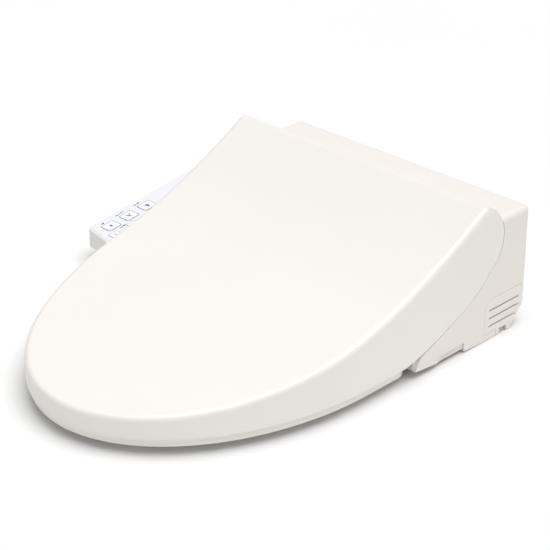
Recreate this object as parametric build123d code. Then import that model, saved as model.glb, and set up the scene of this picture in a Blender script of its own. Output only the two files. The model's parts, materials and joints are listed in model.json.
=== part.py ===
from build123d import *
import math
import os

# Electric bidet seat, in millimetres. +Z is up, the nose points along -Y, the sitter's left is +X.
# Origin: the middle of the two mounting holes, on the underside that rests on the bowl rim.

# --- overall sizes ---
nose_y = -472.0          # front end of the lid
half_width = 190.0       # lid and housing side faces
bow_y = -203.0           # where the straight sides turn into the half ellipse of the nose
rear_y = 63.0            # back of the housing
rear_low_y = 35.0        # the underside rises from here to the back wall
rear_low_z = 30.0
housing_top = 146.0
lid_skirt_z = 21.0       # lower edge of the lid
arm_side_x = -163.0      # upper housing wall on the control-arm side

# --- walls, gaps and fits ---
wall = 3.0
seam = 0.4               # gap round removable panels
lid_gap = 0.9            # lid to housing, all round the hinge barrel
running_fit = 0.05       # radial, shaft in bore
fixed_fit = 0.02         # radial, keyed shaft in its boss
seat_inset = 3.8         # seat outline inside the lid outline

# --- hinge ---
hinge_y = -30.0
hinge_z = 125.0
barrel_r = 46.0          # lid barrel round the hinge line
shaft_r = 5.0
arm_in_x = 120.0         # seat arm, inner and outer faces
arm_out_x = 143.0
tower_in_x = 146.0       # bracket tower, inner and outer faces
tower_out_x = 160.0
boss_in_x = 162.0        # lid boss starts here and ends in the lid's side wall
damper_r = 9.0
damper_in_x = 66.0
damper_out_x = 118.0
clevis_in_x = 98.0       # bracket plate that holds the damper
clevis_out_x = 104.0
deck_z = 75.0            # flat shelf under the hinge brackets
bracket_foot = 4.0

# --- lid ---
lid_edge_r = 6.0
lid_lip_angle = 15.0     # the lid's back wall stops at this angle above the hinge line

# --- seat ---
seat_low = 11.0
seat_plate = 2.0
seat_high = 36.0
seat_rear_y = -133.0
hole_y = -290.0
hole_half_width = 108.0
hole_half_length = 122.0
seat_round = 8.0

# --- housing ---
toe_y = -128.0           # front of the housing, behind the seat
toe_z = 9.5
toe_top = 30.0
deck_back_y = -11.0      # the underside is level behind this line
flank_in_x = half_width - 4.5   # the deck's side face, inside the lid skirt
left_flank_top = 66.0
edge_r = 7.0

# --- vent panel and filter ---
vent_front_y = -10.5
vent_back_y = rear_y - 2
vent_low_z = 0.0
vent_top_z = 51.0
vent_corner_r = 15.0
slots = ((37.5, 52.0), (27.5, 51.0), (17.5, 45.0))     # top and rear end of each
slot_height = 5.0
slot_slit = 2.4          # the open part at the top of each sloping slot
slot_depth = 2.2
tab_back_y = 11.0        # drain plug's cover, under the vent's front end
tab_top_z = 8.0
notch_front_y = 17.0
notch_back_y = 30.0
notch_top_z = 7.0

# --- release button ---
button_front_y = -90.5
button_back_y = -45.0
button_top_z = 13.0
button_travel = 4.0

# --- nozzle ---
wand_r = 6.0
wand_length = 99.0
wand_angle = 30.0        # below the horizontal
wand_exit_y = -122.0     # a point on the wand's axis
wand_exit_z = 9.0
wand_travel = 85.0
pinion_pitch_r = 6.0
pinion_teeth = 12
tooth_height = 1.8

# --- control arm ---
arm_width = 92.5
arm_corner_r = 9.0
arm_gap = 2.5            # arm case to the lid's side
arm_inner_x = -half_width - arm_gap
arm_outer_x = arm_inner_x - arm_width
arm_front_y = -183.0     # at the outer edge
arm_front_inner_y = -199.0
arm_back_y = 38.0
arm_top_z = 42.0         # at the outer front corner
arm_slope = 7.1
arm_floor_z = 4.0
arm_wall = 2.5
label_thick = 0.5
label_inset = 2.5
key_width = 16.0
key_length = 18.5
key_pitch = 29.5
small_key_width = 13.0
small_key_length = 13.0
key_gap = 0.35
key_proud = 0.4
key_travel = 0.6
key_flange = 1.2
board_thick = 1.6
switch_height = 1.2

# --- base plate and water inlet ---
bolt_spacing = 140.0
bolt_hole_r = 4.25
plate_half_x = 105.0
plate_half_y = 26.0
plate_thick = 4.0
plate_gap = 0.4
adjuster_r = 13.0
adjuster_boss_r = 5.75
inlet_x = -132.0
inlet_z = 30.0
inlet_r = 10.48
inlet_length = 14.0
inlet_bore_r = 6.5

os.makedirs("parts", exist_ok=True)


def save(node, shape):
    export_step(shape, f"parts/{node}.step")


def group(shapes):
    return Compound(children=list(shapes))


def block(x0, x1, y0, y1, z0, z1):
    centre = ((x0 + x1) / 2, (y0 + y1) / 2, (z0 + z1) / 2)
    return Pos(*centre) * Box(x1 - x0, y1 - y0, z1 - z0)


def slab_along_x(curve, x0, x1):
    # closed side-view outline, (y, z), spread from x0 to x1
    return extrude(Plane.YZ.offset(x0) * make_face(curve), x1 - x0)


def polygon_along_x(points, x0, x1):
    return slab_along_x(Polyline(*points, close=True), x0, x1)


def rod_x(radius, x0, x1, y, z):
    return Pos((x0 + x1) / 2, y, z) * Rot(0, 90, 0) * Cylinder(radius, x1 - x0)


def rod_y(radius, y0, y1, x, z):
    return Pos(x, (y0 + y1) / 2, z) * Rot(90, 0, 0) * Cylinder(radius, y1 - y0)


def rod_z(radius, z0, z1, x, y):
    return Pos(x, y, (z0 + z1) / 2) * Cylinder(radius, z1 - z0)


def on_barrel(radius, angle):
    turn = math.radians(angle)
    return (hinge_y + radius * math.cos(turn), hinge_z + radius * math.sin(turn))


def barrel_arc(radius, start, end):
    middle = (start + end) / 2
    return ThreePointArc(on_barrel(radius, start), on_barrel(radius, middle), on_barrel(radius, end))


# --- outlines seen from above ---

def bow_outline(inset, back_y):
    across = half_width - inset
    along = bow_y - nose_y - inset
    front_half = Pos(0, bow_y - along) * Rectangle(2 * across + 2, 2 * along)
    nose = Pos(0, bow_y) * Ellipse(across, along) & front_half
    sides = Pos(0, (bow_y + back_y) / 2) * Rectangle(2 * across, back_y - bow_y)
    return nose + sides


def bow_block(inset, back_y, z0, z1):
    return extrude(Pos(0, 0, z0) * bow_outline(inset, back_y), z1 - z0)


# --- lid ---

slope_run = ((-480, 43.5), (-400, 50), (-320, 61), (-240, 76), (-160, 98), (-80, 132))


def lid_profile(inset, bottom_z):
    # the sloping top and the round back about the hinge line
    radius = barrel_r - inset
    crest = on_barrel(radius, 68)
    top = Spline(*[(y, z - inset) for y, z in slope_run], crest)
    back = barrel_arc(radius, 68, 0)
    floor = Polyline(
        on_barrel(radius, 0), (hinge_y + radius, bottom_z), (-480, bottom_z), (-480, 43.5 - inset),
    )
    return top + back + floor


tail_run = ((-28, 66), (-72, 44), (-100, 33))
tail_end_y = -145.0
lid_reach = half_width + 10


def lid_tail():
    # what is cut away below and behind the edge that meets the housing
    start = on_barrel(barrel_r, 0)
    turn = barrel_arc(barrel_r, 0, -60)
    end = (tail_end_y, lid_skirt_z)
    edge = Spline(on_barrel(barrel_r, -60), *tail_run, end)
    rest = Polyline(end, (tail_end_y, -5), (60, -5), (60, start[1]), start)
    return slab_along_x(turn + edge + rest, -lid_reach, lid_reach)


lid_outer = bow_block(0, 60, lid_skirt_z, 200)
lid_outer &= slab_along_x(lid_profile(0, lid_skirt_z), -lid_reach, lid_reach)
lid_rims = []
for edge in lid_outer.edges():
    middle = edge.position_at(0.5)
    high = middle.Z > lid_skirt_z + 8
    at_side = abs(abs(middle.X) - half_width) < 0.1 and middle.Y > bow_y
    on_slope = at_side and high and middle.Y < hinge_y - barrel_r
    on_nose = middle.Y < bow_y - 1 and high
    across = edge.length > 2 * half_width - 1 and middle.Z > hinge_z
    if on_slope or on_nose or across:
        lid_rims.append(edge)
lid_outer = fillet(lid_rims, lid_edge_r)

lid_inner = bow_block(wall, 60, 0, 200)
lid_inner &= slab_along_x(lid_profile(wall, 0), -lid_reach, lid_reach)
side_wall_x = half_width - wall
lip_z = on_barrel(barrel_r, lid_lip_angle)[1]
lid_shell = lid_outer - lid_inner - lid_tail()
lid_shell -= block(-side_wall_x, side_wall_x, hinge_y, 60, 0, lip_z)
for side in (-1, 1):
    x0, x1 = sorted((side * boss_in_x, side * (side_wall_x + 1)))
    lid_shell += rod_x(shaft_r + 7, x0, x1, hinge_y, hinge_z)
lid_shell -= rod_x(shaft_r + fixed_fit, -side_wall_x, -boss_in_x, hinge_y, hinge_z)
lid_shell -= rod_x(shaft_r + running_fit, boss_in_x, side_wall_x, hinge_y, hinge_z)
save("lid_shell", lid_shell)

lid_pads = []
for x, y in ((-95, -415), (95, -415), (-150, -215), (150, -215)):
    lid_pads.append(rod_z(6, seat_high + 0.3, 150, x, y) & lid_inner)
save("lid_bumpers", group(lid_pads))

shaft_end = side_wall_x - 0.5
save("lid_shaft", rod_x(shaft_r, -shaft_end, -damper_in_x - 4, hinge_y, hinge_z))


# --- seat ---

def ring_block(inset, z0, z1):
    outside = seat_inset + inset
    body = bow_block(outside, seat_rear_y - inset, z0, z1)
    hole = Pos(0, hole_y) * Ellipse(hole_half_width + inset, hole_half_length + inset)
    return body - extrude(Pos(0, 0, z0 - 1) * hole, z1 - z0 + 2)


def near_z(edge, z):
    box = edge.bounding_box()
    return abs(box.min.Z - z) < 0.1 and abs(box.max.Z - z) < 0.1


ring = ring_block(0, seat_low + seat_plate, seat_high)
rear_corners = [e for e in ring.edges().filter_by(Axis.Z) if e.center().Y > seat_rear_y - 1]
ring = fillet(rear_corners, 20)
ring = fillet([e for e in ring.edges() if near_z(e, seat_high)], seat_round)
seat_top = ring - ring_block(wall, 0, seat_high - wall)
seat_link = (
    (hinge_y, hinge_z + 12), (-75, 116), (-118, 78), (-148, seat_high - 1), (-150, seat_high - 8),
    (seat_rear_y - 1, seat_high - 8), (-127, 46), (-104, 73), (-70, 100), (hinge_y, hinge_z - 12),
)
for side in (-1, 1):
    x0, x1 = sorted((side * arm_in_x, side * arm_out_x))
    link = polygon_along_x(seat_link, x0, x1) + rod_x(12, x0, x1, hinge_y, hinge_z)
    seat_top += link
seat_top -= rod_x(shaft_r + running_fit, -arm_out_x, -arm_in_x, hinge_y, hinge_z)
seat_top -= rod_x(shaft_r + fixed_fit, arm_in_x, arm_out_x, hinge_y, hinge_z)
save("seat_top", seat_top)

seat_plate_ring = ring_block(0, seat_low, seat_low + seat_plate)
corners = [e for e in seat_plate_ring.edges().filter_by(Axis.Z) if e.center().Y > seat_rear_y - 1]
seat_plate_ring = fillet(corners, 20)
save("seat_bottom", seat_plate_ring)
heater = ring_block(wall + seat_round, seat_high - wall - 1, seat_high - wall)
for side in (-1, 1):
    x0, x1 = sorted((side * (arm_in_x - 1), side * (arm_out_x + 1)))
    heater -= block(x0, x1, -152, seat_rear_y, 0, seat_high)
save("seat_heater", heater)

foot_places = ((-60, -416), (60, -416), (-146, -225), (146, -225))
feet = []
for x, y in foot_places:
    foot = Pos(x, y, seat_low / 2) * Box(30, 16, seat_low)
    feet.append(fillet(foot.edges().filter_by(Axis.Z), 6))
save("seat_bumpers", group(feet))
save("seat_shaft", rod_x(shaft_r, damper_in_x + 4, shaft_end, hinge_y, hinge_z))


# --- housing shapes ---

bottom_run = ((35, 0), (deck_back_y, 0), (-45, 2), (-92, 6), (toe_y, toe_z))


def rear_profile(inset, base_z=0):
    radius = barrel_r + lid_gap + inset
    top = housing_top - inset
    start = math.degrees(math.asin((top - hinge_z) / radius))
    low = on_barrel(radius, -90)
    slope_y = rear_low_y - inset
    curve = barrel_arc(radius, start, -90)
    walls = Polyline(
        low, (hinge_y, base_z), (slope_y, base_z), (rear_y - inset, rear_low_z), (rear_y - inset, top),
        on_barrel(radius, start),
    )
    return curve + walls


def deck_points(inset, base):
    top = deck_z - inset
    front = toe_y + inset
    shelf = [(deck_back_y, top), (-84, top), (-119 + inset, 42), (front, toe_top)]
    return shelf + list(reversed(base))


toe_run = ((-100, 31.4), (-111, 27), (-119.5, 21.8), (-124.5, 15.6))


def side_profile():
    # complements the lid's side edge, one gap away
    radius = barrel_r + lid_gap
    start = math.degrees(math.asin((housing_top - hinge_z) / radius))
    curve = barrel_arc(radius, start, -60)
    below = [(y, z - lid_gap) for y, z in tail_run[:2]]
    tail = Spline(on_barrel(radius, -60), *below, *toe_run, (toe_y, toe_z))
    edge = Polyline(
        (toe_y, toe_z), (-92, 6), (-45, 2), (-11, 0),
        (rear_low_y, 0), (rear_y, rear_low_z), (rear_y, housing_top), on_barrel(radius, start),
    )
    return curve + tail + edge


rear_block = slab_along_x(rear_profile(0), arm_side_x, half_width)
rounded = []
for edge in rear_block.edges():
    middle = edge.position_at(0.5)
    rear_top = abs(middle.Y - rear_y) < 0.1 and abs(middle.Z - housing_top) < 0.1
    side_top = abs(middle.Z - housing_top) < 0.1 and abs(middle.Y - 35) < 12
    upright = abs(middle.Y - rear_y) < 0.1 and 40 < middle.Z < housing_top - 1
    if rear_top or side_top or upright:
        rounded.append(edge)
rear_block = fillet(rounded, edge_r)

deck_block = polygon_along_x(deck_points(0, bottom_run[1:]), -flank_in_x, flank_in_x)
side_solid = slab_along_x(side_profile(), flank_in_x, half_width)
beside_lid = block(flank_in_x, half_width + 1, hinge_y - 1, 10, 0, hinge_z)
rear_block -= beside_lid - side_solid
right_flank = side_solid - block(flank_in_x - 1, half_width + 1, 10, rear_y + 1, 0, 200)
left_flank = mirror(side_solid, Plane.YZ) & block(-half_width, -flank_in_x, -200, 60, -1, left_flank_top)
left_block = polygon_along_x(
    (
        (-20, 0), (rear_low_y, 0), (rear_y, rear_low_z), (rear_y, left_flank_top),
        (-20, left_flank_top),
    ),
    -half_width, arm_side_x + 1,
)
left_block = left_block - rod_x(barrel_r + lid_gap, -half_width - 1, arm_side_x + 2, hinge_y, hinge_z)
left_side = left_flank + left_block
outer_body = rear_block + deck_block + right_flank + left_side


def cavity(gap):
    step = wall + gap
    rear = slab_along_x(rear_profile(step, -5), arm_side_x + step, half_width - step)
    base = [(deck_back_y, -5), (toe_y + step, -5)]
    deck = polygon_along_x(deck_points(step, base), -flank_in_x + step, flank_in_x - step)
    left_top = left_flank_top - step
    left = polygon_along_x(
        (
            (-20, -5), (rear_low_y - step, -5), (rear_y - step, rear_low_z),
            (rear_y - step, left_top), (-20, left_top),
        ),
        -half_width + step, arm_side_x + step + 1,
    )
    return rear + deck + left


inside = cavity(0)
upper_cover = outer_body - inside

vent_window = Plane.YZ.offset(flank_in_x) * make_face(Polyline(
    (vent_front_y, vent_low_z - 1), (vent_back_y, vent_low_z - 1), (vent_back_y, vent_top_z),
    (vent_front_y, vent_top_z), close=True,
))
vent_hole = extrude(vent_window, 10)
front_corner = [
    e for e in vent_hole.edges().filter_by(Axis.X)
    if abs(e.center().Y - vent_front_y) < 0.1 and e.center().Z > 30
]
vent_hole = fillet(front_corner, vent_corner_r)
upper_cover -= vent_hole

button_hole = block(flank_in_x - wall - 2, half_width + 1, button_front_y, button_back_y, -1, button_top_z)
upper_cover -= button_hole

plate_tunnel = block(
    -plate_half_x - plate_gap, plate_half_x + plate_gap, -plate_half_y - plate_gap, 60,
    -1, plate_thick + plate_gap,
)
upper_cover -= plate_tunnel

inlet_hole = rod_y(17, rear_y - inlet_length - 8, rear_y + 1, inlet_x, inlet_z)
gland_x = 120.0
gland_z = 46.0
gland_r = 7.0
gland_hole = rod_y(gland_r, rear_y - wall - 2, rear_y + 1, gland_x, gland_z)
upper_cover -= inlet_hole
upper_cover -= gland_hole

wand_window_x = wand_r + 8
wand_window_top = 15.0
wand_window = block(
    -wand_window_x, wand_window_x, toe_y - 1, wand_exit_y + 50, -1, wand_window_top,
)
upper_cover -= wand_window

screw_x = half_width - 16
screw_places = ((-screw_x, -104), (screw_x, -104), (-screw_x, 25), (screw_x, 8))
post_r = 6.0
screw_r = 2.0
for x, y in screw_places[:2]:
    upper_cover += rod_z(post_r, 12, deck_z - 10, x, y) & outer_body
upper_cover += rod_z(post_r, 12, left_flank_top - 1, *screw_places[2]) & outer_body
save("upper_cover", upper_cover)


# --- deodorising fan ---
fan_y = 20.0
fan_z = 30.0
fan_in_x = half_width - 78
fan_out_x = fan_in_x + 24
fan_shaft_r = 2.5
fan_blades = 9
fan_case = block(fan_in_x, fan_out_x, fan_y - 24, fan_y + 11, 3, fan_z + 24)
fan_case += rod_x(24, fan_in_x, fan_out_x, fan_y, fan_z)
fan_case -= rod_x(20, fan_in_x + 3, fan_out_x - 3, fan_y, fan_z)
fan_case -= rod_x(12, fan_out_x - 4, fan_out_x + 1, fan_y, fan_z)
fan_case -= rod_x(fan_shaft_r + running_fit, fan_in_x - 1, fan_in_x + 4, fan_y, fan_z)
save("fan_housing", fan_case)
impeller = rod_x(18, fan_in_x + 4, fan_in_x + 6, fan_y, fan_z)
impeller += rod_x(6, fan_in_x + 4, fan_out_x - 5, fan_y, fan_z)
impeller += rod_x(fan_shaft_r, fan_in_x - 14, fan_in_x + 5, fan_y, fan_z)
for blade in range(fan_blades):
    turn = Pos(0, fan_y, fan_z) * Rot(360 / fan_blades * blade, 0, 0)
    impeller += turn * block(fan_in_x + 5, fan_out_x - 5, 11, 17.5, -0.8, 0.8)
save("fan_impeller", impeller)
motor = rod_x(13, fan_in_x - 18, fan_in_x, fan_y, fan_z)
motor += block(fan_in_x - 18, fan_in_x - 3.2, fan_y - 8, fan_y + 8, 7, fan_z - 8)
motor -= rod_x(fan_shaft_r + running_fit, fan_in_x - 15, fan_in_x + 1, fan_y, fan_z)
save("fan_motor", motor)

# --- vent panel with its filter cartridge ---

panel_gap = Plane.YZ.offset(half_width - 2.8) * make_face(Polyline(
    (vent_front_y + seam, vent_low_z + seam), (vent_back_y - seam, vent_low_z + seam),
    (vent_back_y - seam, vent_top_z - seam), (vent_front_y + seam, vent_top_z - seam), close=True,
))
panel = extrude(panel_gap, 5)
front_corner = [
    e for e in panel.edges().filter_by(Axis.X)
    if abs(e.center().Y - vent_front_y - seam) < 0.1 and e.center().Z > 30
]
panel = fillet(front_corner, vent_corner_r - seam)
vent_cover = panel & rear_block
face = half_width + 0.5
panel_back = half_width - 4
for top, end_y in slots:
    slot = Plane.XZ.offset(-end_y) * make_face(Polyline(
        (face, top), (half_width - slot_depth, top), (face, top - slot_height), close=True,
    ))
    vent_cover -= extrude(slot, end_y + 3)
    vent_cover -= block(panel_back, face, -1, end_y - 2, top - slot_slit, top)
vent_cover -= block(panel_back, face, notch_front_y, notch_back_y, -1, notch_top_z)
vent_cover -= block(panel_back, face, vent_front_y - 1, tab_back_y + seam, -1, tab_top_z + seam)
save("vent_cover", vent_cover)

tab = block(flank_in_x + 1.6, half_width, vent_front_y + seam, tab_back_y, 0.3, tab_top_z)
tab_edges = [e for e in tab.edges() if e.center().X > half_width - 0.1]
save("drain_plug", chamfer(tab_edges, 0.3))

cartridge_back = half_width - 2.8
cartridge_x = fan_out_x + 4
cartridge = block(cartridge_x, cartridge_back, 0, 40, 8, 42)
cartridge -= block(cartridge_x + 4, cartridge_back + 1, 3, 37, 11, 39)
cartridge -= block(cartridge_x - 1, cartridge_x + 5, 8, 32, 14, 36)
save("filter_cartridge", cartridge)
save("filter_media", block(cartridge_x + 10, cartridge_x + 26, 3, 37, 11, 39))

# --- lower case: the floor of the housing ---

floor_points = list(bottom_run) + [(y, z + wall) for y, z in reversed(bottom_run)]
lower_case = polygon_along_x(floor_points, -half_width, half_width) & cavity(0.3)
plate_bay_x = plate_half_x + plate_gap
lower_case -= block(-plate_bay_x, plate_bay_x, -plate_half_y - plate_gap, 60, -1, 5)
tunnel_roof = block(
    -plate_half_x - 4, plate_half_x + 4, -plate_half_y - 4, 31, plate_thick + plate_gap, 7,
)
lower_case += tunnel_roof
lower_case += block(plate_half_x + plate_gap, plate_half_x + 4, -plate_half_y - 4, 31, 0, 7)
lower_case += block(-plate_half_x - 4, -plate_half_x - plate_gap, -plate_half_y - 4, 31, 0, 7)
lower_case += block(-plate_half_x - 4, plate_half_x + 4, -plate_half_y - 4, -plate_half_y - plate_gap, 0, 7)
lower_case -= wand_window
lower_case -= block(165, half_width, button_front_y - seam, button_back_y + seam, -1, 20)
for x, y in screw_places:
    lower_case -= rod_z(screw_r + 0.3, -1, 14, x, y)
save("lower_case", lower_case)


# --- hinge brackets and soft-close dampers ---

def bracket_plate(x0, x1, hub_r):
    foot_y = -78
    rear_y = -44
    foot_z = deck_z + bracket_foot - 0.5
    web = polygon_along_x(((foot_y, foot_z), (rear_y, foot_z), (-19.5, 123), (-38, 132)), x0, x1)
    return web + rod_x(hub_r, x0, x1, hinge_y, hinge_z)


def bracket(side):
    bodies = block(clevis_in_x, tower_out_x, -80, -44, deck_z, deck_z + bracket_foot)
    bodies += bracket_plate(tower_in_x, tower_out_x, 11)
    bodies += bracket_plate(clevis_in_x, clevis_out_x, 13)
    bodies -= rod_x(shaft_r + running_fit, tower_in_x - 1, tower_out_x + 1, hinge_y, hinge_z)
    bodies -= rod_x(damper_r + fixed_fit, clevis_in_x - 1, clevis_out_x + 1, hinge_y, hinge_z)
    return bodies if side > 0 else mirror(bodies, Plane.YZ)


def damper(side):
    barrel = rod_x(damper_r, damper_in_x, damper_out_x, hinge_y, hinge_z)
    barrel += rod_x(damper_r + 3, damper_out_x - 6, damper_out_x - 1, hinge_y, hinge_z)
    barrel -= rod_x(shaft_r + running_fit, damper_in_x + 3, damper_out_x + 1, hinge_y, hinge_z)
    return barrel if side > 0 else mirror(barrel, Plane.YZ)


save("hinge_bracket_left", bracket(1))
save("hinge_bracket_right", bracket(-1))
save("seat_damper", damper(1))
save("lid_damper", damper(-1))

# --- base plate that bolts to the bowl ---
plate = block(-plate_half_x, plate_half_x, -plate_half_y, plate_half_y, 0, plate_thick)
adjusters = []
for side in (-1, 1):
    x = side * bolt_spacing / 2
    plate -= rod_z(adjuster_r + 0.3, 2, plate_thick + 1, x, 0)
    slot = SlotOverall(20, 2 * (adjuster_boss_r + 0.3))
    plate -= extrude(Pos(x, 0, -1) * Rot(0, 0, 90) * slot, 4)
    adjuster = rod_z(adjuster_r, 2, plate_thick, x, 0) + rod_z(adjuster_boss_r, 0, 3, x, 0)
    adjusters.append(adjuster - rod_z(bolt_hole_r, -1, 5, x, 0))
for x in (-40, 0, 40):
    plate -= block(x - 14, x + 14, -16, 16, plate_thick - 1.5, plate_thick + 1)
save("base_plate", plate)
save("bolt_adjusters", group(adjusters))

# --- release button and its latch bar ---
button = block(
    half_width - 10, half_width - 2.4, button_front_y + seam, button_back_y - seam,
    toe_z - 4.5, button_top_z - seam,
)
for rib in range(5):
    y = button_front_y + 8 + 6 * rib
    button += block(half_width - 2.5, half_width - 1.8, y, y + 2, toe_z - 2, button_top_z - 2)
save("release_button", button)
latch_y = -68.0
latch = block(plate_half_x + 8, half_width - 10, latch_y - 5, latch_y + 5, 8.4, 11.4)
latch += block(plate_half_x + 8, plate_half_x + 14, latch_y - 5, latch_y + 30, 8.4, 11.4)
save("latch_bar", latch)

# --- nozzle wand, built about its sloping axis ---
lean = math.radians(wand_angle)
wand_plane = Plane(
    origin=(0, wand_exit_y, wand_exit_z), x_dir=(1, 0, 0), z_dir=(0, math.cos(lean), math.sin(lean)),
)
flat = 5.0               # flattened left side of the wand, where the rack sits
rack_back = 2.5
rack_half = 2.5
pitch_line = flat + rack_back + tooth_height / 2
pinion_along = 20.0
pinion_side = pitch_line + pinion_pitch_r
tooth_pitch = 2 * math.pi * pinion_pitch_r / pinion_teeth
tooth_half = 0.5
tooth_clear = 0.25       # tip of each tooth to the root it meshes with
rack_start = pinion_along - 5
wand_start = 8.0
wand_end = wand_start + wand_length


def wand_box(x0, x1, y0, y1, z0, z1):
    return wand_plane * block(x0, x1, y0, y1, z0, z1)


def wand_rod(radius, z0, z1):
    return wand_plane * Pos(0, 0, (z0 + z1) / 2) * Cylinder(radius, z1 - z0)


wand = wand_rod(wand_r, wand_start, wand_end) - wand_rod(3, wand_start - 1, wand_end - 4)
wand -= wand_box(flat, wand_r + 1, -wand_r, wand_r, rack_start, wand_end + 1)
save("nozzle_wand", wand)

shield_front = toe_y + 0.2
shield_top = seat_low + 2.2      # low enough to pass under the seat as it slides out
tip = wand_rod(wand_r, -6, wand_start) - wand_rod(3, 4, wand_start + 1)
tip -= wand_box(-1, 1, -wand_r - 1, 0, 1, 3)
tip = tip & block(-20, 20, shield_front, 0, -20, 40)
tip -= block(-20, 20, shield_front - 1, toe_y + wall + 1, shield_top, 40)
tip += block(-12, 12, shield_front, shield_front + 1.8, 4.5, shield_top)
save("nozzle_tip", tip)

rack = wand_box(flat, flat + rack_back, -rack_half, rack_half, rack_start, wand_end)
for tooth in range(int((wand_end - rack_start) / tooth_pitch)):
    along = pinion_along + tooth_pitch * (tooth - 0.5)
    rack += wand_box(
        flat + rack_back - 0.1, flat + rack_back + tooth_height - tooth_clear,
        -rack_half, rack_half, along - tooth_half, along + tooth_half,
    )
save("nozzle_rack", rack)

root_r = pinion_pitch_r - tooth_height / 2
wheel = Cylinder(root_r, 2 * rack_half)
for tooth in range(pinion_teeth):
    turn = Rot(0, 0, 360 / pinion_teeth * tooth)
    tip_r = pinion_pitch_r + tooth_height / 2 - tooth_clear
    wheel += turn * block(root_r - 1, tip_r, -tooth_half, tooth_half, -rack_half, rack_half)
wheel += Pos(0, 0, 6) * Cylinder(1.5, 9)
# one tooth points at the rack, into the gap between two of its teeth; the shaft points up
pinion_place = wand_plane * Pos(pinion_side, 0, pinion_along) * Rot(90, 0, 0)
save("nozzle_pinion", pinion_place * Rot(0, 0, 180) * wheel)

guide = wand_box(-9, 9, -8.2, 9, 9, 75)
guide -= wand_rod(wand_r + running_fit, 0, 80)
guide -= wand_box(3, 20, -3.2, 3.2, 0, 80)
guide -= wand_box(4, 30, -20, 4, 8, pinion_along + 13)
guide += block(-9, -6.5, -66, -60, 6.85, 36) + block(6.5, 9, -66, -60, 6.85, 36)
save("nozzle_guide", guide)

motor_r = 8.5
drive = pinion_place * Pos(0, 0, rack_half + 0.7 + 6) * Cylinder(motor_r, 12)
motor_y = wand_plane.from_local_coords((pinion_side, 0, pinion_along)).Y
leg_x = pinion_side + motor_r - 1
drive += block(leg_x, leg_x + 4, motor_y - 9, motor_y, 11.6, 28)
drive -= pinion_place * Pos(0, 0, 6) * Cylinder(1.5 + running_fit, 10)
save("nozzle_motor", drive)

# --- water path ---
fitting = rod_y(inlet_r, rear_y - inlet_length, rear_y, inlet_x, inlet_z)
hexagon = Plane((inlet_x, rear_y - inlet_length - 7, inlet_z), z_dir=(0, 1, 0)) * RegularPolygon(14, 6)
fitting += extrude(hexagon, 7)
fitting += rod_y(8, 20, rear_y - inlet_length - 6, inlet_x, inlet_z)
fitting -= rod_y(inlet_bore_r, 19, rear_y + 1, inlet_x, inlet_z)
fitting += block(inlet_x - 7, inlet_x + 7, 21, 28, 3, inlet_z - inlet_bore_r - 0.5)
save("inlet_fitting", fitting)
strainer = rod_y(inlet_bore_r - 0.1, 40, 47, inlet_x, inlet_z)
strainer -= rod_y(inlet_bore_r - 1.1, 41, 48, inlet_x, inlet_z)
save("inlet_strainer", strainer)
valve = block(inlet_x - 16, inlet_x + 16, -11, 19.7, 3, 38)
valve += rod_z(11, 38, 56, inlet_x, 0)
valve += rod_z(5, 56, 60, inlet_x, 0)
save("inlet_valve", valve)
tank = block(-100, -34, -14, 28, 7, 48)
tank = fillet(tank.edges().filter_by(Axis.Z), 8)
tank += rod_z(5, 48, 52, -60, 0)
save("heater_tank", tank)
hose_route = FilletPolyline((inlet_x, 0, 60), (inlet_x, 0, 68), (-60, 0, 68), (-60, 0, 52), radius=7)
hose = sweep(Plane((inlet_x, 0, 60)) * Circle(4), path=hose_route)
save("supply_hose", hose)

# --- electronics ---
board = block(18, 86, -26, 0, 12, 13.6)
for x, y in ((22, -23), (82, -23), (22, -3), (82, -3)):
    board += rod_z(2.5, 7, 12.1, x, y)
for x in (32, 46, 60):
    board += rod_z(4.5, 13.5, 26, x, -12)
board += block(68, 82, -20, -8, 13.5, 19)
save("main_board", board)
save("power_module", block(18, 86, 4, 29, 7, 44))
gland = rod_y(gland_r + 2.5, rear_y - wall - 3, rear_y - wall, gland_x, gland_z)
gland += rod_y(gland_r - 0.1, rear_y - wall - 0.5, rear_y - 0.2, gland_x, gland_z)
gland -= rod_y(3.6, rear_y - wall - 4, rear_y + 1, gland_x, gland_z)
save("cord_gland", gland)

# --- control arm ---
slope = math.radians(arm_slope)
arm_plane = Plane(
    origin=(arm_outer_x, arm_front_y, arm_top_z), x_dir=(1, 0, 0),
    z_dir=(0, -math.sin(slope), math.cos(slope)),
)


def arm_box(x0, x1, y0, y1, z0, z1):
    return arm_plane * block(x0, x1, y0, y1, z0, z1)


def arm_layer(z0, z1):
    return arm_box(-20, 120, -40, 260, z0, z1)


def arm_plan(inset):
    outline = make_face(Polyline(
        (arm_outer_x + inset, arm_front_y + inset), (arm_inner_x - inset, arm_front_inner_y + inset),
        (arm_inner_x - inset, arm_back_y - inset), (arm_outer_x + inset, arm_back_y - inset), close=True,
    ))
    corners = [v for v in outline.vertices() if v.X < arm_outer_x + inset + 1]
    return fillet(corners, arm_corner_r - inset)


def arm_body(inset):
    plan = extrude(arm_plan(inset), 120)
    under = (
        (-200, 26 + inset), (-172, 14 + inset), (-100, 6 + inset), (-60, arm_floor_z + inset),
        (arm_back_y, arm_floor_z + inset), (arm_back_y, 120), (-200, 120),
    )
    return plan & polygon_along_x(under, arm_outer_x, arm_inner_x)


arm_solid = arm_body(0) - arm_layer(0, 120)
top_edges = [
    e for e in arm_solid.edges()
    if abs(arm_plane.to_local_coords(e.position_at(0.5)).Z) < 0.01
    and e.position_at(0.5).X < arm_inner_x - 1
]
arm_solid = fillet(top_edges, 2)
arm_cover = arm_solid & arm_layer(-arm_wall, 1)
arm_case = arm_solid - arm_layer(-arm_wall, 1) - arm_body(arm_wall)
label = (extrude(arm_plan(label_inset), 120) & arm_layer(0, label_thick)) & arm_layer(0, label_thick)

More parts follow.
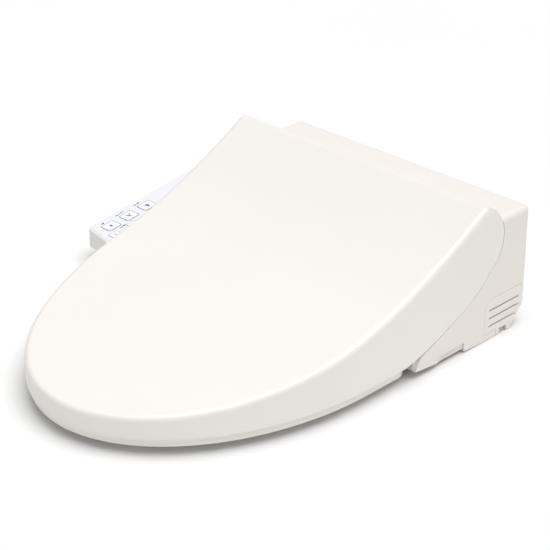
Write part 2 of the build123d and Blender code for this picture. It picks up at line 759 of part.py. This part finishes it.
flange_low = -arm_wall - 0.05 - key_flange
switch_top = flange_low - key_travel - 0.05
board_top = switch_top - switch_height
board_low = board_top - board_thick
keys = []
for row in range(3):
    keys.append((f"wash_key_{row + 1}", 21.5, 20.5 + key_pitch * row, key_width, key_length))
for row in range(4):
    place = (41.5, 10.0 + key_pitch * row)
    keys.append((f"setting_key_{row + 1}", *place, small_key_width, small_key_length))

switches = []
for name, x, y, width, length in keys:
    hole = RectangleRounded(width + 2 * key_gap, length + 2 * key_gap, 3 + key_gap)
    opening = arm_plane * extrude(Pos(x, y, -arm_wall - 1) * hole, 6)
    arm_cover -= opening
    label -= opening
    cap = extrude(Pos(x, y, -arm_wall - 0.5) * RectangleRounded(width, length, 3),
                  arm_wall + 0.5 + label_thick + key_proud)
    flange = extrude(Pos(x, y, flange_low) * RectangleRounded(width + 2, length + 2, 4), key_flange)
    save(name, arm_plane * (cap + flange))
    switches.append(arm_box(x - 3, x + 3, y - 3, y + 3, board_top, switch_top))

lights = []
for row in range(5):
    y = 24 + 14 * row
    spot = arm_plane * (Pos(57, y, -1) * Cylinder(1.4, 8))
    arm_cover -= spot
    label -= spot
    lamp = Pos(57, y, (board_top + label_thick) / 2) * Cylinder(1.3, label_thick - board_top)
    lights.append(arm_plane * lamp)

for x, y in ((14, 6), (71, 6), (14, 140), (71, 140)):
    post = arm_plane * (Pos(x, y, board_low - 40) * Cylinder(3, 80))
    arm_case += post & arm_solid
arm_case += block(arm_inner_x - 1, -half_width, -6, 33, 8, 50)
save("arm_case", arm_case)
save("arm_cover", arm_cover)
save("arm_label", label)
save("arm_board", arm_box(8, 77, 2, 150, board_low, board_top))
save("key_switches", group(switches))
save("indicator_lights", group(lights))
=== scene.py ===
import json
import math

import bmesh
import bpy
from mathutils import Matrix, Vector


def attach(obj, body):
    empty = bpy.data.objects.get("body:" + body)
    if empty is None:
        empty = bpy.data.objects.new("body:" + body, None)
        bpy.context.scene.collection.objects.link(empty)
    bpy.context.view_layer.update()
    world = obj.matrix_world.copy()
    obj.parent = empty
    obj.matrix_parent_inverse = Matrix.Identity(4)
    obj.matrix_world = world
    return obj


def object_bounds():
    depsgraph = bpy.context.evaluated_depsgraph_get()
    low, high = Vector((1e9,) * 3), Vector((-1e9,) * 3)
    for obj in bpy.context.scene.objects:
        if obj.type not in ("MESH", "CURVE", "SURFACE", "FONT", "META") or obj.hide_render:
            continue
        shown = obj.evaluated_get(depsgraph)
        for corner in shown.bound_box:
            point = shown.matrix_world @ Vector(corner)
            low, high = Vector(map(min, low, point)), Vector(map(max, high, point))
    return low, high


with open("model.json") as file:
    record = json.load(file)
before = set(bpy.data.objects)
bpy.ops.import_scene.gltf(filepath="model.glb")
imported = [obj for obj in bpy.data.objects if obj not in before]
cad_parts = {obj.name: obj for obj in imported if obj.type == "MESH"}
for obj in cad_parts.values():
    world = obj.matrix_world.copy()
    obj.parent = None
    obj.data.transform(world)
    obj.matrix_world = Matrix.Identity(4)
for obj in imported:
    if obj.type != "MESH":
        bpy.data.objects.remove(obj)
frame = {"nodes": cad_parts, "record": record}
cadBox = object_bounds()
print("frame loaded:", len(frame["nodes"]), "parts")

cameraAt = {
    "place": (1.35526, -1.54718, 1.07249),
    "turn": 44.14,       # degrees round from the nose
    "lift": 27.29,       # degrees up from the floor
    "lens": 127.85,      # both in millimetres
    "sensor": 36,
}


def aimCamera():
    turn = math.radians(cameraAt["turn"])
    lift = math.radians(cameraAt["lift"])
    back = Vector((
        math.sin(turn) * math.cos(lift),
        -math.cos(turn) * math.cos(lift),
        math.sin(lift),
    ))
    lens = bpy.data.cameras.new("camera")
    lens.lens = cameraAt["lens"]
    lens.sensor_width = cameraAt["sensor"]
    camera = bpy.data.objects.new("camera", lens)
    camera.location = cameraAt["place"]
    camera.rotation_euler = back.to_track_quat("Z", "Y").to_euler()
    bpy.context.collection.objects.link(camera)
    bpy.context.scene.camera = camera


aimCamera()


class Nodes:
    # a tree of shader nodes: node() makes any node, settings first, then its sockets
    def __init__(self, tree):
        self.tree = tree

    def plug(self, socket, value):
        if isinstance(value, bpy.types.NodeSocket):
            self.tree.links.new(value, socket)
        else:
            socket.default_value = value

    def node(self, kind, settings=None, sockets=None, out=0):
        made = self.tree.nodes.new(kind)
        for name, setting in (settings or {}).items():
            setattr(made, name, setting)
        for name, value in (sockets or {}).items():
            self.plug(made.inputs[name], value)
        return made.outputs[out]

    def range(self, value, low, high, start=0.0, end=1.0):
        sockets = {
            "Value": value,
            "From Min": start,
            "From Max": end,
            "To Min": low,
            "To Max": high,
        }
        return self.node("ShaderNodeMapRange", sockets=sockets)


class Finish(Nodes):
    # one material, with the ways of varying it over a surface
    def __init__(self, name, colour, roughness, metallic=0.0):
        self.material = bpy.data.materials.new(name)
        self.material.use_nodes = True
        super().__init__(self.material.node_tree)
        self.shader = self.tree.nodes["Principled BSDF"]
        self.set("Base Color", (*colour, 1))
        self.set("Roughness", roughness)
        self.set("Metallic", metallic)

    def set(self, name, value):
        self.plug(self.shader.inputs[name], value)

    def noise(self, scale, detail=2.0):
        place = self.node("ShaderNodeTexCoord", out="Object")
        sockets = {"Vector": place, "Scale": scale, "Detail": detail}
        return self.node("ShaderNodeTexNoise", sockets=sockets)

    def mixColour(self, factor, a, b):
        sockets = {0: factor, 6: a, 7: b}
        return self.node("ShaderNodeMix", {"data_type": "RGBA"}, sockets, out=2)

    def varyRoughness(self, roughness, feel):
        low = roughness - feel["glossier"]
        high = roughness + feel["duller"]
        self.set("Roughness", self.range(self.noise(feel["glossScale"]), low, high, *noiseSpan))

    def bump(self, height, distance, strength):
        sockets = {"Height": height, "Distance": distance, "Strength": strength}
        self.set("Normal", self.node("ShaderNodeBump", sockets=sockets))


noiseSpan = (0.3, 0.7)      # nearly all of a noise lies between these

plasticFeel = {
    "mottle": 0.02,         # share of the colour that the tone drifts by, each way
    "mottleScale": 7,
    "mottleDetail": 3,
    "glossScale": 40,
    "glossier": 0.04,       # how far the roughness falls and rises
    "duller": 0.05,
    "grainDetail": 1,
    "grainStrength": 0.12,
}

steelFeel = {
    "glossScale": 300,
    "glossier": 0.08,
    "duller": 0.1,
    "grainScale": 900,
    "grainDepth": 0.00003,
    "grainStrength": 0.4,
}


def shade(colour, factor):
    return (*(min(1, channel * factor) for channel in colour), 1)


def plastic(name, colour, roughness, grain, grainDepth):
    # moulded plastic: a fine grain, a slow change of tone and a slight change of gloss
    finish = Finish(name, colour, roughness)
    slow = finish.noise(plasticFeel["mottleScale"], plasticFeel["mottleDetail"])
    dark = shade(colour, 1 - plasticFeel["mottle"])
    light = shade(colour, 1 + plasticFeel["mottle"])
    finish.set("Base Color", finish.mixColour(slow, dark, light))
    finish.varyRoughness(roughness, plasticFeel)
    fine = finish.noise(grain, plasticFeel["grainDetail"])
    finish.bump(fine, grainDepth, plasticFeel["grainStrength"])
    return finish.material


def steel(name, colour, roughness):
    finish = Finish(name, colour, roughness, metallic=1.0)
    finish.varyRoughness(roughness, steelFeel)
    fine = finish.noise(steelFeel["grainScale"])
    finish.bump(fine, steelFeel["grainDepth"], steelFeel["grainStrength"])
    return finish.material


# colour and roughness, then for a plastic its grain's scale and its depth in metres
materials = {
    "ivory_shell": plastic("lid ivory", (0.920, 0.892, 0.845), 0.38, 1300, 0.00003),
    "ivory_case": plastic("case ivory", (0.900, 0.845, 0.800), 0.42, 1300, 0.00005),
    "ivory_seat": plastic("seat ivory", (0.93, 0.90, 0.84), 0.34, 1300, 0.00003),
    "case_base": plastic("base plastic", (0.72, 0.69, 0.64), 0.55, 1300, 0.00006),
    "label": plastic("label film", (0.86, 0.87, 0.93), 0.35, 1600, 0.00002),
    "key_cap": plastic("key film", (0.90, 0.91, 0.96), 0.33, 1600, 0.00002),
    "soft_rubber": plastic("soft rubber", (0.62, 0.60, 0.56), 0.7, 900, 0.00008),
    "steel": steel("shaft steel", (0.62, 0.62, 0.62), 0.3),
    "bracket_plastic": plastic("bracket plastic", (0.6, 0.58, 0.54), 0.5, 1100, 0.00006),
    "damper_body": plastic("damper body", (0.09, 0.09, 0.1), 0.45, 900, 0.00005),
    "heater_foil": steel("heater foil", (0.72, 0.72, 0.74), 0.35),
    "circuit": plastic("circuit green", (0.03, 0.16, 0.06), 0.4, 500, 0.00006),
    "switch": plastic("switch black", (0.05, 0.05, 0.055), 0.5, 900, 0.00004),
    "lamp": plastic("lamp lens", (0.45, 0.62, 0.42), 0.2, 900, 0.00002),
    "wand_white": plastic("wand white", (0.85, 0.85, 0.84), 0.25, 500, 0.00003),
    "fan_plastic": plastic("inner plastic", (0.75, 0.75, 0.74), 0.5, 1000, 0.00005),
    "brass_fitting": steel("inlet brass", (0.68, 0.5, 0.25), 0.32),
    "carbon_media": plastic("filter media", (0.03, 0.03, 0.03), 0.9, 400, 0.0004),
}

# the sloping top of the control arm, which the printing lies on
armPlane = {
    "corner": (-0.280, -0.183, 0.042),   # outer front corner
    "slope": 7.1,                        # degrees
    "labelTop": 0.0005,
    "keyTop": 0.0009,
    "inkDepth": 0.00004,
}

keyMarks = {
    "firstWash": (0.0165, 0.0205),       # middle of the front key of each column
    "washSize": (0.016, 0.0185),
    "washKeys": 3,
    "firstSetting": (0.0365, 0.010),
    "settingSize": (0.013, 0.013),
    "settingKeys": 4,
    "pitch": 0.0295,
    "corner": 0.0036,
    "cornerSteps": 6,
    "line": 0.00075,
    "margin": 0.00035,      # from a key's side to the inner side of its printed frame
}

# each mark is its strokes and their width, all in millimetres. A stroke is a list of points
# across and along the arm, from the key's middle on a key and from the arm's corner beside one
mmPerMetre = 1000
washIcons = (
    ([[(-1.1, 0), (1.1, 0)]], 2.2),
    ([[(-3.2, -2.4), (0, 0), (3.4, 1.2)], [(0, 0), (-2.6, 2.6)], [(-0.6, -2.6), (1.2, 0.4)]], 0.9),
    ([[(-3.0, 0.6), (1.6, 0.6)], [(-0.6, -2.2), (-0.6, 3.0)],
      [(1.6, -1.2), (3.4, 0.6), (1.6, 2.2)]], 1.2),
)
captions = (
    ([[(4.4, 16.0), (4.4, 18.5)], [(3.6, 18.5), (3.6, 19.6)]], 1.4),
    ([[(3.8, 39.5), (3.8, 43.0)], [(4.6, 40.5), (4.6, 42.0)], [(3.4, 44.5), (3.4, 46.5)],
      [(4.4, 48.0), (2.4, 49.0), (2.4, 51.5), (3.8, 52.5)]], 0.9),
    ([[(4.0, 69.0), (4.0, 71.5)], [(3.4, 72.5), (3.4, 74.0)], [(3.6, 75.0), (3.6, 78.5)],
      [(2.6, 76.0), (2.6, 77.5)]], 1.0),
    ([[(29.0, 24.5), (29.0, 27.5)], [(28.4, 29.0), (28.4, 32.5)],
      [(29.2, 30.0), (29.2, 31.5)]], 1.3),
)
settingIcon = ([[(-2.2, 0), (2.2, 0)]], 1.0)


def armPoint(across, along, up):
    slope = math.radians(armPlane["slope"])
    x, y, z = armPlane["corner"]
    return Vector((
        x + across,
        y + along * math.cos(slope) - up * math.sin(slope),
        z + along * math.sin(slope) + up * math.cos(slope),
    ))


def addStroke(shape, points, width, low):
    # a flat ribbon of ink along the points, with square ends
    high = low + armPlane["inkDepth"]
    for start, end in zip(points, points[1:]):
        a = Vector(start)
        b = Vector(end)
        along = (b - a).normalized() * width / 2
        side = Vector((-along.y, along.x))
        corners = (a - along - side, b + along - side, b + along + side, a - along + side)
        under = [shape.verts.new(armPoint(c.x, c.y, low)) for c in corners]
        top = [shape.verts.new(armPoint(c.x, c.y, high)) for c in corners]
        shape.faces.new(top)
        shape.faces.new(under[::-1])
        for step in range(4):
            after = (step + 1) % 4
            shape.faces.new((under[step], under[after], top[after], top[step]))


def roundedOutline(width, length, corner):
    points = []
    right = width / 2 - corner
    back = length / 2 - corner
    quarters = ((right, back, 0), (-right, back, 90), (-right, -back, 180), (right, -back, 270))
    steps = keyMarks["cornerSteps"]
    for middleX, middleY, start in quarters:
        for step in range(steps + 1):
            turn = math.radians(start + 90 * step / steps)
            x = middleX + corner * math.cos(turn)
            y = middleY + corner * math.sin(turn)
            points.append(Vector((x, y)))
    return points


def addOutline(shape, middle, size, corner, line, low):
    # the printed frame round a key
    high = low + armPlane["inkDepth"]
    outer = roundedOutline(*size, corner)
    inner = roundedOutline(size[0] - 2 * line, size[1] - 2 * line, corner - line)
    rings = []
    for outline, height in ((outer, low), (outer, high), (inner, high), (inner, low)):
        places = [armPoint(middle[0] + c.x, middle[1] + c.y, height) for c in outline]
        rings.append([shape.verts.new(place) for place in places])
    count = len(outer)
    for ring, following in zip(rings, rings[1:] + rings[:1]):
        for step in range(count):
            after = (step + 1) % count
            shape.faces.new((ring[step], ring[after], following[after], following[step]))


def finishMark(name, shape, body, ink):
    mesh = bpy.data.meshes.new(name)
    shape.to_mesh(mesh)
    shape.free()
    mark = bpy.data.objects.new(name, mesh)
    bpy.context.collection.objects.link(mark)
    mark.data.materials.append(ink)
    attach(mark, body)


def printStrokes(name, body, strokes, width, middle, low, ink):
    shape = bmesh.new()
    for stroke in strokes:
        placed = [(middle[0] + x / mmPerMetre, middle[1] + y / mmPerMetre) for x, y in stroke]
        addStroke(shape, placed, width / mmPerMetre, low)
    finishMark(name, shape, body, ink)


def keyMiddle(first, row):
    return (first[0], first[1] + keyMarks["pitch"] * row)


def frameKeys(name, rows, first, size, ink):
    # the frames printed on the label round a column of keys
    line = keyMarks["line"]
    grow = 2 * (keyMarks["margin"] + line)
    outer = (size[0] + grow, size[1] + grow)
    shape = bmesh.new()
    for row in range(rows):
        middle = keyMiddle(first, row)
        addOutline(shape, middle, outer, keyMarks["corner"], line, armPlane["labelTop"])
    finishMark(name, shape, "unit", ink)


inkFinish = (0.5, 1600, 0.00001)     # roughness, grain scale, grain depth
greyInk = plastic("grey ink", (0.20, 0.21, 0.26), *inkFinish)
darkInk = plastic("dark ink", (0.05, 0.05, 0.06), *inkFinish)
paleInk = plastic("pale ink", (0.42, 0.42, 0.48), *inkFinish)


def printArm():
    firstWash = keyMarks["firstWash"]
    firstSetting = keyMarks["firstSetting"]
    keyTop = armPlane["keyTop"]
    frameKeys("wash_frames", keyMarks["washKeys"], firstWash, keyMarks["washSize"], greyInk)
    frameKeys(
        "setting_frames", keyMarks["settingKeys"], firstSetting, keyMarks["settingSize"], paleInk,
    )
    for row, (strokes, width) in enumerate(washIcons):
        middle = keyMiddle(firstWash, row)
        number = row + 1
        printStrokes(
            f"wash_icon_{number}", f"wash_key_{number}", strokes, width, middle, keyTop, darkInk,
        )
    for row in range(keyMarks["settingKeys"]):
        middle = keyMiddle(firstSetting, row)
        number = row + 1
        printStrokes(
            f"setting_icon_{number}", f"setting_key_{number}", *settingIcon,
            middle, keyTop, greyInk,
        )
    for place, (strokes, width) in enumerate(captions):
        name = f"caption_{place + 1}"
        printStrokes(name, "unit", strokes, width, (0, 0), armPlane["labelTop"], darkInk)


printArm()
print("printing done")


slotOf = {part["node"]: part["material_slot"] for part in frame["record"]["subparts"]}
for node, part in frame["nodes"].items():
    part.data.materials.clear()
    part.data.materials.append(materials[slotOf[node]])
print("materials set:", len(materials))


studio = {
    "floorSize": 40.0,
    "floorDrop": 0.0005,    # keeps the floor just clear of the underside
    "floorTone": 0.91,
    "floorMottle": 0.01,
    "floorScale": 2,
    "floorRoughness": 0.9,
    "sunPower": 1.9,
    "sunSpread": 50.0,      # degrees across, for a soft edge to every shadow
    "sunFrom": (0.24, 0.05, 1.0),
    "skyHigh": 0.74,        # strength of the light from overhead, and from the horizon down
    "skyLow": 0.08,
}


def makeFloor():
    half = studio["floorSize"] / 2
    low = cadBox[0][2] - studio["floorDrop"]
    signs = ((-1, -1), (1, -1), (1, 1), (-1, 1))
    shape = bmesh.new()
    shape.faces.new([shape.verts.new((x * half, y * half, low)) for x, y in signs])
    mesh = bpy.data.meshes.new("floor")
    shape.to_mesh(mesh)
    shape.free()
    floor = bpy.data.objects.new("floor", mesh)
    bpy.context.collection.objects.link(floor)

    tone = studio["floorTone"]
    mottle = studio["floorMottle"]
    pale = Finish("studio floor", (tone, tone, tone), studio["floorRoughness"])
    dark = (*[tone - mottle] * 3, 1)
    light = (*[tone + mottle] * 3, 1)
    pale.set("Base Color", pale.mixColour(pale.noise(studio["floorScale"]), dark, light))
    mesh.materials.append(pale.material)


def makeSky():
    world = bpy.data.worlds.new("studio")
    world.use_nodes = True
    sky = Nodes(world.node_tree)
    direction = sky.node("ShaderNodeTexCoord", out="Generated")
    height = sky.node("ShaderNodeSeparateXYZ", sockets={0: direction}, out="Z")
    background = sky.tree.nodes["Background"].inputs
    sky.plug(background["Color"], (1, 1, 1, 1))
    sky.plug(background["Strength"], sky.range(height, studio["skyLow"], studio["skyHigh"]))
    bpy.context.scene.world = world


def makeSun():
    light = bpy.data.lights.new("sun", "SUN")
    light.energy = studio["sunPower"]
    light.angle = math.radians(studio["sunSpread"])
    sun = bpy.data.objects.new("sun", light)
    sun.rotation_euler = Vector(studio["sunFrom"]).to_track_quat("Z", "Y").to_euler()
    bpy.context.collection.objects.link(sun)


makeFloor()
makeSky()
makeSun()
bpy.context.scene.view_settings.view_transform = "Standard"
print("studio set")
